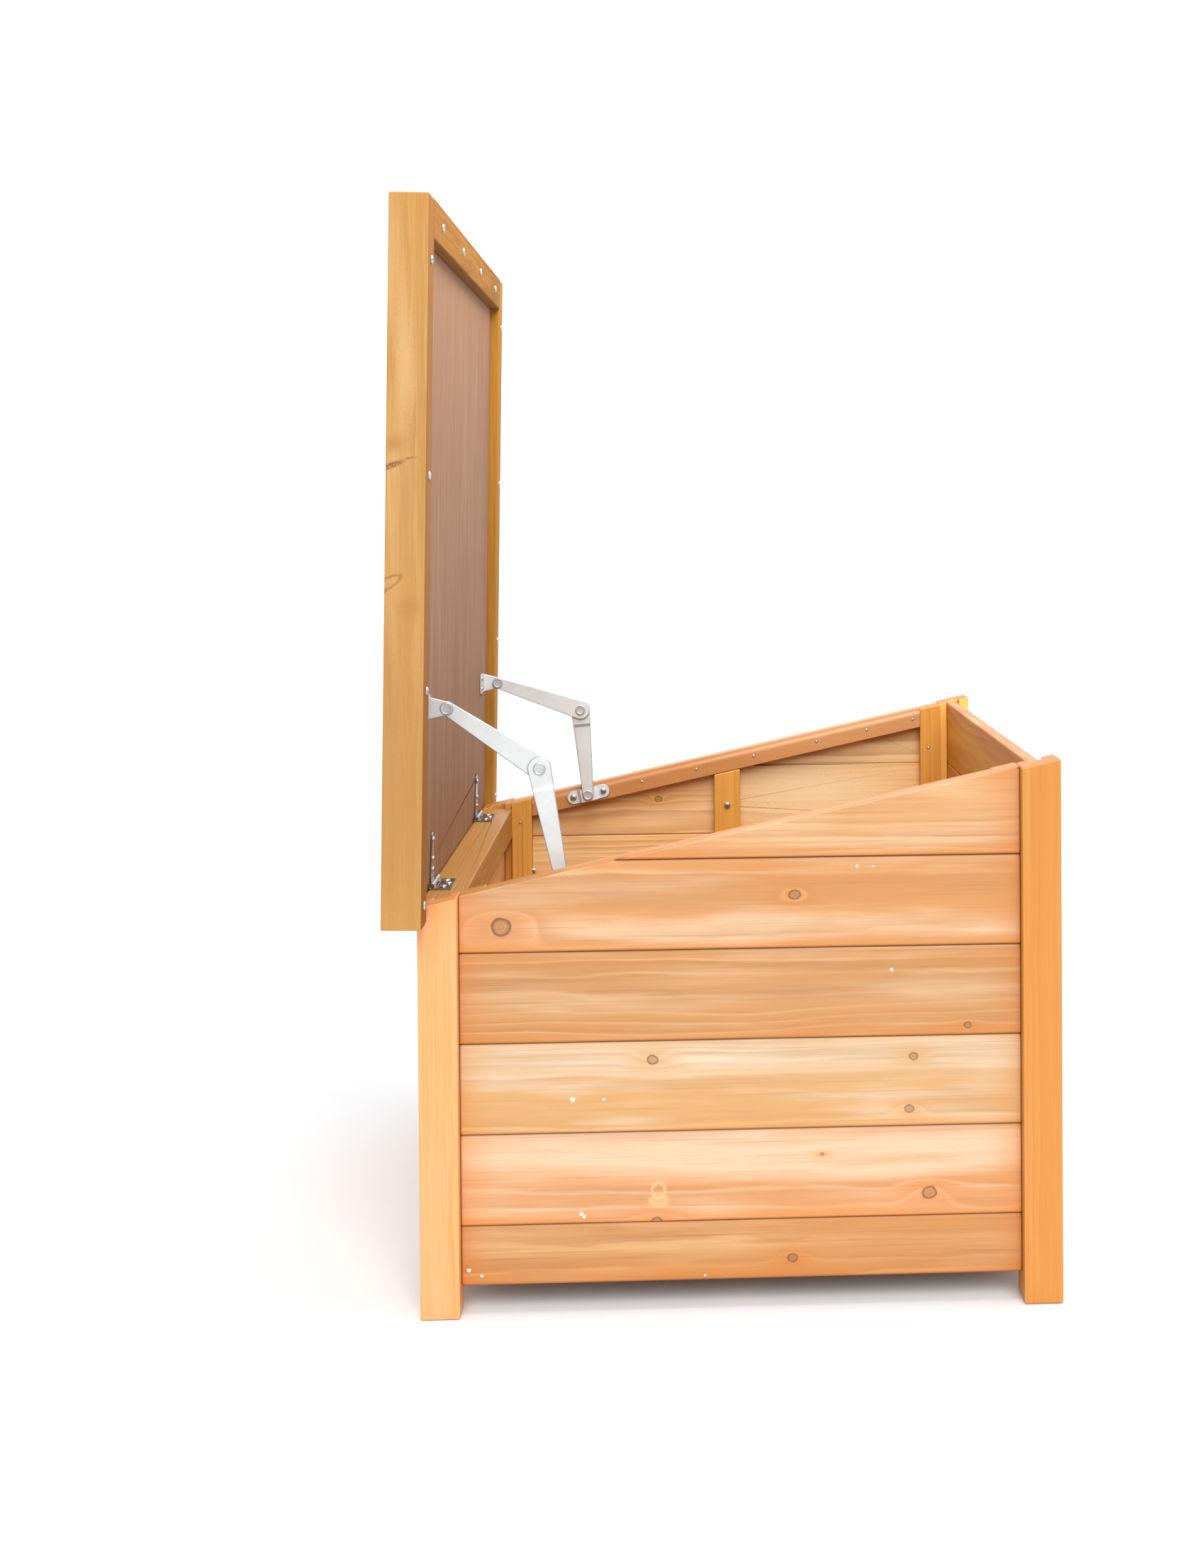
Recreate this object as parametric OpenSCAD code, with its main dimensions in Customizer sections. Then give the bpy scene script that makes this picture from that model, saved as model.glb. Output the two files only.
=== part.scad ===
// Wooden toy box: a plank box with a sloped top, a framed lid on two T-hinges, and two folding stays.
// +X is the high front, +Y is the right side seen from the front, +Z is up. Drawn with the lid open.

/* [Box] */
// Front to back, over the legs
box_x = 494; // [410:1:640]
// Side to side, over the legs
box_y = 504; // [400:1:800]
// Height of the legs at the back face
back_h = 315.3; // [262:0.1:380]
// Height of the legs at the front face
front_h = 422.3; // [390:0.1:510]
// Width of the square legs
leg = 30; // [25:1:40]
// Upper screw of a back leg, below the top of the back face
back_screw_drop = 63.3; // [30:0.1:90]
// Upper screw of a front leg, below the top of the front face
front_screw_drop = 96.3; // [30:0.1:120]
// Lower screw of every leg, above the ground
low_screw_z = 75; // [60:1:100]

/* [Planks] */
// Gap under the panels
panel_z = 21.5; // [10:0.5:40]
// Height of the ripped bottom plank
first_plank = 46; // [30:1:60]
// Thickness of a plank
plank_t = 12; // [10:0.5:16]
// Height of the tongue behind the next plank
lap = 8; // [5:0.5:10]
// Depth of the curved fall at the top of a plank's face
nose = 2.5; // [1:0.5:4]
// Height of that curve
nose_h = 10; // [5:1:14]
// How far the planks stand back from the leg faces
recess = 10; // [6:1:12]
// How far the front and back planks enter the legs
groove_d = 10; // [5:1:14]

/* [Battens and rails] */
// Width of a corner batten
corner_w = 20; // [15:1:26]
// Width of a middle batten
mid_w = 26; // [18:1:40]
// Thickness of the battens and the sloped rails
batten_t = 12; // [10:1:16]
// Height of a sloped rail, square to the slope
rail_h = 18; // [15:0.5:24]
// Radius along the rail's inner top edge
rail_r = 6; // [3:0.5:8]
// Height of the hinge rail between the back legs
hinge_rail_h = 29.5; // [24:0.5:36]
// How far the hinge rail sits below the back face of the legs' tops
hinge_rail_drop = 0.4; // [0:0.1:2]
// Middle screw of a side, below the slope
batten_screw_drop = 53; // [30:1:90]
// Nail of a corner batten, above the foot of its plank
nail_up = 23.8; // [12:0.1:35]

/* [Floor] */
// Underside of the floor
floor_z = 44; // [42:1:70]
// Thickness of the floor
floor_t = 6; // [4:0.5:9]
// Width of a floor bearer
bearer = 18; // [14:1:24]

/* [Lid] */
// How far the open lid leans towards the box, in degrees
lean = 1.2; // [0.5:0.1:3]
// Width and thickness of the frame members
member = 30; // [26:1:36]
// Gap between the side members and the legs
side_gap = 4; // [2:0.5:8]
// Gap between the front member and the front legs, lid shut
front_gap = 1.5; // [1:0.5:4]
// How far the lid reaches below the hinge pin
lid_drop = 12.5; // [8:0.5:20]
// How far the lining sits below the members' inner faces
lining_recess = 9; // [6:0.5:12]
// Thickness of the plywood lining
lining_t = 5; // [3:0.5:6]
// Number of lid boards
lid_rows = 7; // [5:1:9]
// Spacing of the screws along the front member
front_screw_step = 137; // [90:1:150]
// Lowest screw of a side member, above the hinge pin
side_screw_low = 3.5; // [2:0.5:20]
// Spacing of the screws along a side member
side_screw_step = 161; // [100:1:165]

/* [Hinges] */
// Centre of a hinge, in from the side of the box
hinge_y = 89; // [60:1:150]
// Length of the knuckle and the leaf
leaf_w = 40; // [30:1:60]
// Depth of the leaf on the rail, from the pin
leaf_d = 15.5; // [12:0.5:24]
// Sheet thickness
sheet = 1.5; // [1:0.1:2.5]
// Radius of the pin
pin_r = 1.25; // [1:0.05:2]
// Running clearance of the pin
pin_gap = 0.05; // [0.02:0.01:0.1]
// Length of the strap above the pin
strap_l = 41; // [30:1:70]
// Width of the strap at its foot
strap_w = 19; // [12:0.5:24]
// Width of the strap at its tip
strap_tip = 9; // [6:0.5:12]

/* [Stays] */
// How much longer an arm is than half the span between the left pivots, lid open
arm_spare = 6.64; // [2:0.01:20]
// Width of an arm at the elbow
arm_wide = 18.6; // [15:0.2:22]
// Width of an arm at its fixed pivot
arm_narrow = 11; // [9:0.5:13]
// Pivot on the box, from the back face
stay_x = 107; // [85:1:130]
// Pivot of the left arm on the lid, above the hinge pin
left_lid_pivot = 145; // [135:1:175]
// Pivot of the right arm on the lid, above the hinge pin
right_lid_pivot = 126; // [105:1:135]
// Reach of the lid brackets from the lining
ear_reach = 16.5; // [14:0.5:20]
// Foot of the lid brackets, along the lid
ear_foot = 19; // [16:0.5:24]
// Clearance between arms and brackets
stay_gap = 0.3; // [0.2:0.05:0.6]
// Side step of the lower arm below its elbow
joggle = 1.8; // [0.5:0.1:3]
// Height of the raised centre of the box bracket
bracket_raise = 4; // [3:0.5:6]
// Length of the box bracket
bracket_l = 43.5; // [40:0.5:60]
// Height of the box bracket
bracket_h = 14; // [11:0.5:16]
// Spacing of the box bracket's screws
bracket_step = 30.4; // [28:0.2:40]
// Radius of the rivet shanks
rivet_r = 2.5; // [2:0.1:3]
// Radius of the rivet heads
rivet_head = 4.9; // [4:0.1:5.5]

/* [Hidden] */
$fn = 48;

pine = "#e3a463";
lid_pine = "#c8965a";
ply = "#b98f7a";
zinc = "#d3d6d6";
nickel = "#9a9a9a";

// the sloped top
rise = (front_h - back_h) / box_x;
slope = atan(rise);
function slope_z(x) = back_h + rise * x;

// plank rows and the room inside: the front's top plank ends where the slope meets its inner face
fit = 0.2;
tongue_t = plank_t / 2;
groove_w = plank_t + fit;
inner_y = recess + plank_t;
wall_y = inner_y + batten_t;
clear_y = max(wall_y, leg) + fit;
front_rows = 6;
pitch = (slope_z(box_x - inner_y) - panel_z - first_plank) / (front_rows - 1);
function row_z(k) = k == 0 ? panel_z : panel_z + first_plank + (k - 1) * pitch;
rail_top = back_h - hinge_rail_drop;
hinge_rail_z = rail_top - hinge_rail_h;

// the hinge line: the knuckle stands a little proud of the back face
knuckle_r = pin_r + pin_gap + sheet;
knuckle_proud = 0.8;
axis_x = knuckle_r - knuckle_proud;
axis_z = rail_top + knuckle_r;

// the lid, in its own frame: x towards the box, z up the lid, both from the pin
lining_n = -knuckle_r;
inner_n = lining_n + lining_recess;
outer_n = inner_n - member;
cavity_n = lining_n - lining_t;
corner = [box_x - axis_x, front_h - axis_z];
reach = norm(corner) + front_gap;
lid_top = reach + member;
lid_y0 = -side_gap - member;
lid_y1 = box_y + side_gap + member;
boards_low = member - lid_drop;

// fasteners: place, turn, head radius, head height, shank radius, shank length
screw_head_r = 3.4;
screw_head_h = 1.8;
screw_r = 1.6;
leg_head_r = 4.2;
leg_head_h = 2.6;
leg_screw_r = 2;
tip_out = 2.5;
nail_head_r = 1.3;
nail_head_h = 0.5;
nail_r = 0.9;
small_head_r = 2.6;
small_head_h = 1.4;

function screw(p, turn, l) = [p, turn, screw_head_r, screw_head_h, screw_r, l];
function small_screw(p, turn, l) = [p, turn, small_head_r, small_head_h, screw_r, l];
function nail(p, turn, l) = [p, turn, nail_head_r, nail_head_h, nail_r, l];

// shank directions: along +X, -X, -Y on the left side, and down
to_front = [0, 90, 0];
to_back = [0, -90, 0];
to_left = [90, 0, 0];
downwards = [180, 0, 0];

// every fastener of a side is given for the left side; the right side mirrors it
leg_screw_l = leg + corner_w + tip_out;
leg_screw_y = inner_y + 3;
left_leg_screws = [
    for (z = [low_screw_z, back_h - back_screw_drop])
        [[0, leg_screw_y, z], to_front, leg_head_r, leg_head_h, leg_screw_r, leg_screw_l],
    for (z = [low_screw_z, front_h - front_screw_drop])
        [[box_x, leg_screw_y, z], to_back, leg_head_r, leg_head_h, leg_screw_r, leg_screw_l]];
wood_left = 3;
side_bite = batten_t + plank_t - wood_left;
batten_x = [leg, box_x - leg - corner_w];
mid_x = (box_x - mid_w) / 2;
batten_screws = [screw([box_x / 2, wall_y, slope_z(box_x / 2) - batten_screw_drop], to_left, side_bite)];
batten_nails = [
    for (x = batten_x, k = [1:front_rows - 1])
        if (row_z(k) + nail_up + rail_h / 2 < slope_z(x))
            nail([x + corner_w * 0.4, wall_y, row_z(k) + nail_up], to_left, side_bite)];
rail_mid = rail_h / 2 / cos(slope);
// nails of a sloped rail, from the back legs' front face
rail_nail_at = [131, 186, 244, 308, 359, 406];
rail_nails = [
    for (at = rail_nail_at)
        if (leg + at < box_x - leg - corner_w - rail_h / 4)
            nail([leg + at, wall_y, slope_z(leg + at) - rail_mid], to_left, side_bite)];

// stays
stay_z = slope_z(stay_x) - rail_mid;
bracket_screws = [
    for (k = [-1, 1])
        screw([stay_x + k * bracket_step / 2 * cos(slope), wall_y + sheet,
            stay_z + k * bracket_step / 2 * sin(slope)], to_left, batten_t)];
arm_low_y = wall_y + bracket_raise + sheet + stay_gap;
arm_mid_y = arm_low_y + joggle;
arm_high_y = arm_mid_y + sheet + stay_gap;
pivot_n = lining_n + ear_reach;
function on_lid(n, s) = [axis_x + n * cos(lean) + s * sin(lean), axis_z - n * sin(lean) + s * cos(lean)];
stay_pivot = [stay_x, stay_z];
left_pivot = on_lid(pivot_n, left_lid_pivot);
right_pivot = on_lid(pivot_n, right_lid_pivot);
arm_l = norm(left_pivot - stay_pivot) / 2 + arm_spare;
// elbow: where circles of arm_l about the lid pivot and the box pivot cross, on the front side
function elbow(p) = let (m = (p + stay_pivot) / 2, d = norm(p - stay_pivot) / 2,
    h = sqrt(arm_l * arm_l - d * d)) m + h * [p.y - stay_z, stay_x - p.x] / (2 * d);

// hinges: screws placed as parts of the leaf's depth and width and of the strap's length
hinge_inset = (leaf_w - strap_w) / 2;
leaf_screw_l = 12;
leaf_screws = [
    for (at = [[0.56, -0.3], [0.74, 0], [0.56, 0.3]])
        small_screw([axis_x + leaf_d * at.x, hinge_y + leaf_w * at.y, rail_top + sheet], downwards, leaf_screw_l)];
strap_bite = lining_t + 8;
strap_screws = [
    for (at = [0.24, 0.45, 0.83])
        small_screw([lining_n + sheet, hinge_y, strap_l * at], to_back, strap_bite)];

// lid screws, in the lid's frame
ear_bite = lining_t + 7;
ear_screw_y = arm_mid_y + ear_foot * 0.658;
function ear_screws(s) = [
    for (at = [-0.27, 0.27])
        small_screw([lining_n + sheet, ear_screw_y, s + ear_foot * at], to_back, ear_bite)];
member_bite = member * 0.8;
front_member_screws = [
    for (k = [-1.5:1:1.5])
        screw([inner_n, box_y / 2 + k * front_screw_step, reach + member / 2], to_back, member_bite)];
side_member_screws = [
    for (k = [0:3])
        screw([inner_n, lid_y0 + member / 2, side_screw_low + k * side_screw_step], to_back, member_bite)];

// middle of the whole object at rest, under which the origin lies
low_x = axis_x + outer_n * cos(lean) - lid_drop * sin(lean);
mid_point = (low_x + box_x + leg_head_h) / 2;

module place() { translate([-mid_point, -box_y / 2, 0]) children(); }
module lid_place() { place() translate([axis_x, 0, axis_z]) rotate([0, lean, 0]) children(); }
module right_side() { translate([0, box_y, 0]) mirror([0, 1, 0]) children(); }
module both_sides() { children(); right_side() children(); }
module along_x(x0, x1) { translate([x0, 0, 0]) rotate([90, 0, 90]) linear_extrude(x1 - x0) children(); }
module along_y(y0, y1) { translate([0, y1, 0]) rotate([90, 0, 0]) linear_extrude(y1 - y0) children(); }

module under_slope(drop = 0) {
    along_y(-1, box_y + 1)
        polygon([[-1, -1], [box_x + 1, -1], [box_x + 1, slope_z(box_x + 1) - drop], [-1, slope_z(-1) - drop]]);
}

// shanks are cut out of the wood and drawn with their heads from the same lists
module shanks(list) {
    for (s = list) translate(s[0]) rotate(s[1]) cylinder(r = s[4], h = s[5]);
}
module fasteners(list) {
    for (s = list) translate(s[0]) rotate(s[1]) rotate_extrude()
        polygon([[0, s[5]], [s[4], s[5]], [s[4], 0], [s[2], 0], [s[2], -s[3] * 0.35],
            [s[2] * 0.72, -s[3] * 0.85], [0, -s[3]]]);
}

// section of plank k, showing up to z1: x runs inwards from the face, y is the height
module plank_section(k, z1, last) {
    z0 = row_z(k);
    step_z = z1 - fit;
    face = [for (a = [0:10:90]) [nose * (1 - cos(a)), step_z - nose_h + nose_h * sin(a)]];
    top = last ? [[plank_t, step_z]]
        : [[tongue_t + fit, step_z], [tongue_t + fit, z1 + lap - fit], [plank_t, z1 + lap - fit]];
    foot = k == 0 ? [[plank_t, z0]] : [[plank_t, z0 + lap], [tongue_t, z0 + lap], [tongue_t, z0]];
    polygon(concat([[0.8, z0], [0, z0 + 1]], face, top, foot));
}

module side_plank(k) {
    color(pine) difference() {
        intersection() {
            translate([0, recess, 0]) along_x(leg, box_x - leg) plank_section(k, row_z(k + 1), k == front_rows - 1);
            under_slope();
        }
        shanks(concat(batten_screws, batten_nails, rail_nails));
    }
}
module wall_plank(k, z1, last) {
    color(pine) along_y(leg - groove_d + fit, box_y - leg + groove_d - fit) plank_section(k, z1, last);
}
module left_plank(k) { place() side_plank(k); }
module right_plank(k) { place() right_side() side_plank(k); }
module front_plank(k) {
    place() difference() {
        translate([box_x - recess, 0, 0]) mirror([1, 0, 0]) wall_plank(k, row_z(k + 1), k == front_rows - 1);
        both_sides() shanks(left_leg_screws);
    }
}
// the last back plank's tongue ends under the hinge rail
module back_plank(k, last = false) {
    z1 = last ? hinge_rail_z - lap + fit / 2 : row_z(k + 1);
    place() difference() {
        translate([recess, 0, 0]) wall_plank(k, z1, false);
        both_sides() shanks(left_leg_screws);
    }
}

// left leg standing at x0, its plank groove starting at groove_x
module left_leg(x0, groove_x) {
    color(pine) difference() {
        intersection() {
            translate([x0, 0, 0]) cube([leg, leg, front_h + leg]);
            under_slope();
        }
        translate([groove_x - fit / 2, leg - groove_d, panel_z]) cube([groove_w, groove_d + 1, front_h]);
        shanks(left_leg_screws);
    }
}
module leg_back_left() { place() left_leg(0, recess); }
module leg_back_right() { place() right_side() left_leg(0, recess); }
module leg_front_left() { place() left_leg(box_x - leg, box_x - recess - plank_t); }
module leg_front_right() { place() right_side() left_leg(box_x - leg, box_x - recess - plank_t); }

module hinge_rail() {
    place() color(pine) difference() {
        translate([0, leg, hinge_rail_z]) cube([leg, box_y - 2 * leg, hinge_rail_h]);
        both_sides() shanks(leaf_screws);
    }
}

module side_rail() {
    color(pine) difference() {
        intersection() {
            translate([0, inner_y, back_h]) rotate([0, -slope, 0]) along_x(0, box_x * 1.2) difference() {
                translate([0, -rail_h]) square([batten_t, rail_h]);
                translate([batten_t - rail_r, -rail_r]) difference() {
                    square(rail_r + 1);
                    circle(r = rail_r);
                }
            }
            translate([leg + corner_w, 0, 0]) cube([box_x - 2 * (leg + corner_w), box_y, front_h * 2]);
        }
        shanks(concat(rail_nails, bracket_screws));
    }
}
module side_rail_left() { place() side_rail(); }
module side_rail_right() { place() right_side() side_rail(); }

module side_battens() {
    place() both_sides() color(pine) difference() {
        union() {
            for (x = batten_x) intersection() {
                translate([x, inner_y, panel_z]) cube([corner_w, batten_t, front_h]);
                under_slope();
            }
            intersection() {
                translate([mid_x, inner_y, panel_z]) cube([mid_w, batten_t, front_h]);
                under_slope(rail_h / cos(slope) + fit);
            }
        }
        shanks(concat(batten_nails, batten_screws, left_leg_screws));
    }
}

module floor_panel() {
    edge = inner_y + fit;
    corner_x = leg + corner_w + fit;
    place() color(ply) translate([0, 0, floor_z]) difference() {
        translate([edge, edge, 0]) cube([box_x - 2 * edge, box_y - 2 * edge, floor_t]);
        both_sides() {
            for (x = [0, box_x - corner_x]) translate([x, 0, -1]) cube([corner_x, clear_y, floor_t + 2]);
            translate([mid_x - fit, 0, -1]) cube([mid_w + 2 * fit, wall_y + fit, floor_t + 2]);
        }
    }
}
module floor_bearers() {
    place() color(pine) for (x = [inner_y, (box_x - bearer) / 2, box_x - inner_y - bearer])
        translate([x, clear_y, floor_z - bearer]) cube([bearer, box_y - 2 * clear_y, bearer]);
}

module lid_side() {
    color(lid_pine) difference() {
        translate([outer_n, lid_y0, -lid_drop]) cube([member, member, lid_top + lid_drop]);
        shanks(side_member_screws);
    }
}
module lid_side_left() { lid_place() lid_side(); }
module lid_side_right() { lid_place() right_side() lid_side(); }
module lid_front_member() {
    lid_place() color(lid_pine) difference() {
        translate([outer_n, -side_gap, reach]) cube([member, box_y + 2 * side_gap, member]);
        shanks(front_member_screws);
    }
}
module lid_back_member() {
    lid_place() color(lid_pine) difference() {
        translate([outer_n, -side_gap, -lid_drop]) cube([cavity_n - outer_n, box_y + 2 * side_gap, member]);
        both_sides() shanks(strap_screws);
    }
}
module lid_lining() {
    lid_place() color(ply) difference() {
        translate([cavity_n, -side_gap, -lid_drop])
            cube([lining_t, box_y + 2 * side_gap, reach + lid_drop]);
        both_sides() shanks(strap_screws);
        shanks(ear_screws(left_lid_pivot));
        right_side() shanks(ear_screws(right_lid_pivot));
    }
}
module lid_boards() {
    step = (reach - boards_low) / lid_rows;
    groove = 1.5;
    lid_place() color(lid_pine) difference() {
        for (k = [0:lid_rows - 1]) translate([0, -side_gap, boards_low + k * step])
            along_y(0, box_y + 2 * side_gap) polygon([[cavity_n - plank_t + groove, 0.1],
                [cavity_n - plank_t, groove], [cavity_n - plank_t, step - groove],
                [cavity_n - plank_t + groove, step - 0.1], [cavity_n, step - 0.1], [cavity_n, 0.1]]);
        shanks(ear_screws(left_lid_pivot));
        right_side() shanks(ear_screws(right_lid_pivot));
        both_sides() shanks(strap_screws);
    }
}

module knuckle(y0, y1) {
    rotate([-90, 0, 0]) translate([0, 0, y0]) cylinder(r = knuckle_r, h = y1 - y0);
}
module pin_bore() { rotate([-90, 0, 0]) cylinder(r = pin_r + pin_gap, h = box_y); }
module hinge_leaf() {
    y0 = hinge_y - leaf_w / 2;
    color(nickel) difference() {
        union() {
            translate([axis_x, 0, axis_z]) {
                knuckle(y0, y0 + hinge_inset - fit);
                knuckle(y0 + leaf_w - hinge_inset + fit, y0 + leaf_w);
            }
            for (y = [y0, y0 + leaf_w - hinge_inset + fit])
                translate([axis_x, y, rail_top]) cube([knuckle_r + 1, hinge_inset - fit, sheet]);
            translate([axis_x + knuckle_r + 0.4, y0, rail_top]) cube([leaf_d - knuckle_r - 0.4, leaf_w, sheet]);
        }
        translate([axis_x, 0, axis_z]) pin_bore();
        shanks(leaf_screws);
    }
}
module hinge_leaf_left() { place() hinge_leaf(); }
module hinge_leaf_right() { place() right_side() hinge_leaf(); }
module hinge_strap() {
    tip_r = strap_tip / 2;
    color(nickel) difference() {
        union() {
            knuckle(hinge_y - strap_w / 2, hinge_y + strap_w / 2);
            translate([lining_n, hinge_y, 0]) rotate([90, 0, 90]) linear_extrude(sheet) {
                polygon([[-strap_w / 2, 0], [strap_w / 2, 0], [strap_w / 2, 6], [tip_r, strap_l - tip_r],
                    [-tip_r, strap_l - tip_r], [-strap_w / 2, 6]]);
                translate([0, strap_l - tip_r]) circle(r = tip_r);
            }
        }
        pin_bore();
        shanks(strap_screws);
    }
}
module hinge_strap_left() { lid_place() hinge_strap(); }
module hinge_strap_right() { lid_place() right_side() hinge_strap(); }
module hinge_pins() {
    place() color(nickel) both_sides() translate([axis_x, hinge_y - leaf_w / 2, axis_z])
        rotate([-90, 0, 0]) cylinder(r = pin_r, h = leaf_w);
}

// a rivet along +Y from y0 to y1, with heads of their own height outside
module rivet(y0, y1, head0, head1) {
    head = 1.2;
    rotate([-90, 0, 0]) {
        translate([0, 0, y0]) cylinder(r = rivet_r, h = y1 - y0);
        if (head0) translate([0, 0, y0 - head]) cylinder(r1 = rivet_head * 0.8, r2 = rivet_head, h = head);
        if (head1) translate([0, 0, y1]) cylinder(r1 = rivet_head, r2 = rivet_head * 0.8, h = head);
    }
}
module rivet_bore(gap) {
    rotate([-90, 0, 0]) cylinder(r = rivet_r + gap, h = box_y);
}

module box_bracket() {
    color(zinc) difference() {
        translate([stay_x, wall_y, stay_z]) rotate([0, -slope, 0]) difference() {
            intersection() {
                along_y(0, bracket_raise + sheet) {
                    square([bracket_l - bracket_h, bracket_h], center = true);
                    for (k = [-1, 1]) translate([k * (bracket_l - bracket_h) / 2, 0]) circle(d = bracket_h);
                }
                translate([0, 0, -bracket_h]) linear_extrude(2 * bracket_h) bracket_path();
            }
            rivet_bore(pin_gap);
        }
        shanks(bracket_screws);
    }
}
// the bracket's strip seen from above: flat feet and a raised centre
module bracket_path() {
    foot = bracket_l / 2 + 1;
    top = rivet_head + 2;
    out = bracket_raise;
    polygon([[-foot, 0], [-top - 3, 0], [-top, out], [top, out], [top + 3, 0], [foot, 0], [foot, sheet],
        [top + 3 + sheet * 0.4, sheet], [top + sheet * 0.4, out + sheet], [-top - sheet * 0.4, out + sheet],
        [-top - 3 - sheet * 0.4, sheet], [-foot, sheet]]);
}
module box_bracket_left() { place() box_bracket(); }
module box_bracket_right() { place() right_side() box_bracket(); }

// a bracket on the lid at height s: a square foot on the lining and an ear that carries the pivot
module lid_bracket(s) {
    ear_r = arm_narrow / 2;
    color(zinc) difference() {
        union() {
            translate([lining_n, arm_mid_y, s - ear_foot / 2]) cube([sheet, ear_foot, ear_foot]);
            along_y(arm_mid_y, arm_mid_y + sheet) {
                translate([pivot_n, s]) circle(r = ear_r);
                polygon([[lining_n, s - ear_foot / 2], [pivot_n, s - ear_r], [pivot_n, s + ear_r],
                    [lining_n, s + ear_foot / 2]]);
            }
        }
        translate([pivot_n, 0, s]) rivet_bore(pin_gap);
        shanks(ear_screws(s));
    }
}
module lid_bracket_left() { lid_place() lid_bracket(left_lid_pivot); }
module lid_bracket_right() { lid_place() right_side() lid_bracket(right_lid_pivot); }

// plate of an arm between y0 and y1, its narrow pivot at the origin and its elbow at [arm_l, 0]
module arm_plate(y0, y1) {
    r0 = arm_narrow / 2;
    r1 = arm_wide / 2;
    inset = 0.02;
    translate([0, y0, 0]) rotate([-90, 0, 0]) {
        cylinder(r = r0, h = y1 - y0);
        translate([arm_l, 0, 0]) cylinder(r = r1, h = y1 - y0);
        linear_extrude(y1 - y0)
            polygon([[0, r0 - inset], [arm_l, r1 - inset], [arm_l, inset - r1], [0, inset - r0]]);
    }
}
// turns +X into the direction from a to b in the XZ plane, at a
module aim(a, b) {
    translate([a.x, 0, a.y]) rotate([0, -atan2(b.y - a.y, b.x - a.x), 0]) children();
}
module lower_arm(p) {
    bend = arm_l - 17;
    color(zinc) aim(stay_pivot, elbow(p)) difference() {
        intersection() {
            arm_plate(arm_low_y, arm_mid_y + sheet);
            translate([0, 0, -arm_wide]) linear_extrude(2 * arm_wide) polygon([[-arm_wide, arm_low_y],
                [bend, arm_low_y], [bend + 3, arm_mid_y], [arm_l + arm_wide, arm_mid_y],
                [arm_l + arm_wide, arm_mid_y + sheet], [bend + 2.6, arm_mid_y + sheet],
                [bend - 0.4, arm_low_y + sheet], [-arm_wide, arm_low_y + sheet]]);
        }
        rivet_bore(pin_gap);
        translate([arm_l, 0, 0]) rivet_bore(0);
    }
}
module upper_arm(p) {
    color(zinc) aim(p, elbow(p)) difference() {
        arm_plate(arm_high_y, arm_high_y + sheet);
        rivet_bore(pin_gap);
        translate([arm_l, 0, 0]) rivet_bore(0);
    }
}
module lower_rivet(p) {
    color(zinc) aim(elbow(p), p) rivet(arm_mid_y, arm_mid_y + sheet, true, false);
}
module upper_rivet(p) {
    color(zinc) aim(elbow(p), p) rivet(arm_high_y, arm_high_y + sheet, false, true);
}
module lower_arm_left() { place() lower_arm(left_pivot); }
module lower_arm_right() { place() right_side() lower_arm(right_pivot); }
module upper_arm_left() { place() upper_arm(left_pivot); }
module upper_arm_right() { place() right_side() upper_arm(right_pivot); }
module lower_rivet_left() { place() lower_rivet(left_pivot); }
module lower_rivet_right() { place() right_side() lower_rivet(right_pivot); }
module upper_rivet_left() { place() upper_rivet(left_pivot); }
module upper_rivet_right() { place() right_side() upper_rivet(right_pivot); }
module box_pivot_rivets() {
    place() color(zinc) both_sides() translate([stay_x, 0, stay_z])
        rivet(wall_y + bracket_raise, arm_low_y + sheet, true, true);
}
module lid_pivot_rivets() {
    lid_place() color(zinc) {
        translate([pivot_n, 0, left_lid_pivot]) rivet(arm_mid_y, arm_high_y + sheet, true, true);
        right_side() translate([pivot_n, 0, right_lid_pivot])
            rivet(arm_mid_y, arm_high_y + sheet, true, true);
    }
}

module box_screws() {
    place() color(nickel) both_sides()
        fasteners(concat(left_leg_screws, batten_screws, bracket_screws, leaf_screws));
}
module panel_nails() {
    place() color(nickel) both_sides() fasteners(concat(batten_nails, rail_nails));
}
module lid_screws() {
    lid_place() color(nickel) {
        both_sides() fasteners(concat(strap_screws, side_member_screws));
        fasteners(concat(front_member_screws, ear_screws(left_lid_pivot)));
        right_side() fasteners(ear_screws(right_lid_pivot));
    }
}

leg_back_left();
leg_back_right();
leg_front_left();
leg_front_right();
left_plank(0);  // left_plank_1
left_plank(1);  // left_plank_2
left_plank(2);  // left_plank_3
left_plank(3);  // left_plank_4
left_plank(4);  // left_plank_5
left_plank(5);  // left_plank_6
right_plank(0);  // right_plank_1
right_plank(1);  // right_plank_2
right_plank(2);  // right_plank_3
right_plank(3);  // right_plank_4
right_plank(4);  // right_plank_5
right_plank(5);  // right_plank_6
front_plank(0);  // front_plank_1
front_plank(1);  // front_plank_2
front_plank(2);  // front_plank_3
front_plank(3);  // front_plank_4
front_plank(4);  // front_plank_5
front_plank(5);  // front_plank_6
back_plank(0);  // back_plank_1
back_plank(1);  // back_plank_2
back_plank(2);  // back_plank_3
back_plank(3, last = true);  // back_plank_4
hinge_rail();
side_rail_left();
side_rail_right();
side_battens();
floor_panel();
floor_bearers();
lid_side_left();
lid_side_right();
lid_front_member();
lid_back_member();
lid_lining();
lid_boards();
hinge_leaf_left();
hinge_leaf_right();
hinge_strap_left();
hinge_strap_right();
hinge_pins();
box_bracket_left();
box_bracket_right();
lid_bracket_left();
lid_bracket_right();
lower_arm_left();
lower_arm_right();
upper_arm_left();
upper_arm_right();
lower_rivet_left();
lower_rivet_right();
upper_rivet_left();
upper_rivet_right();
box_pivot_rivets();
lid_pivot_rivets();
box_screws();
panel_nails();
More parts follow.
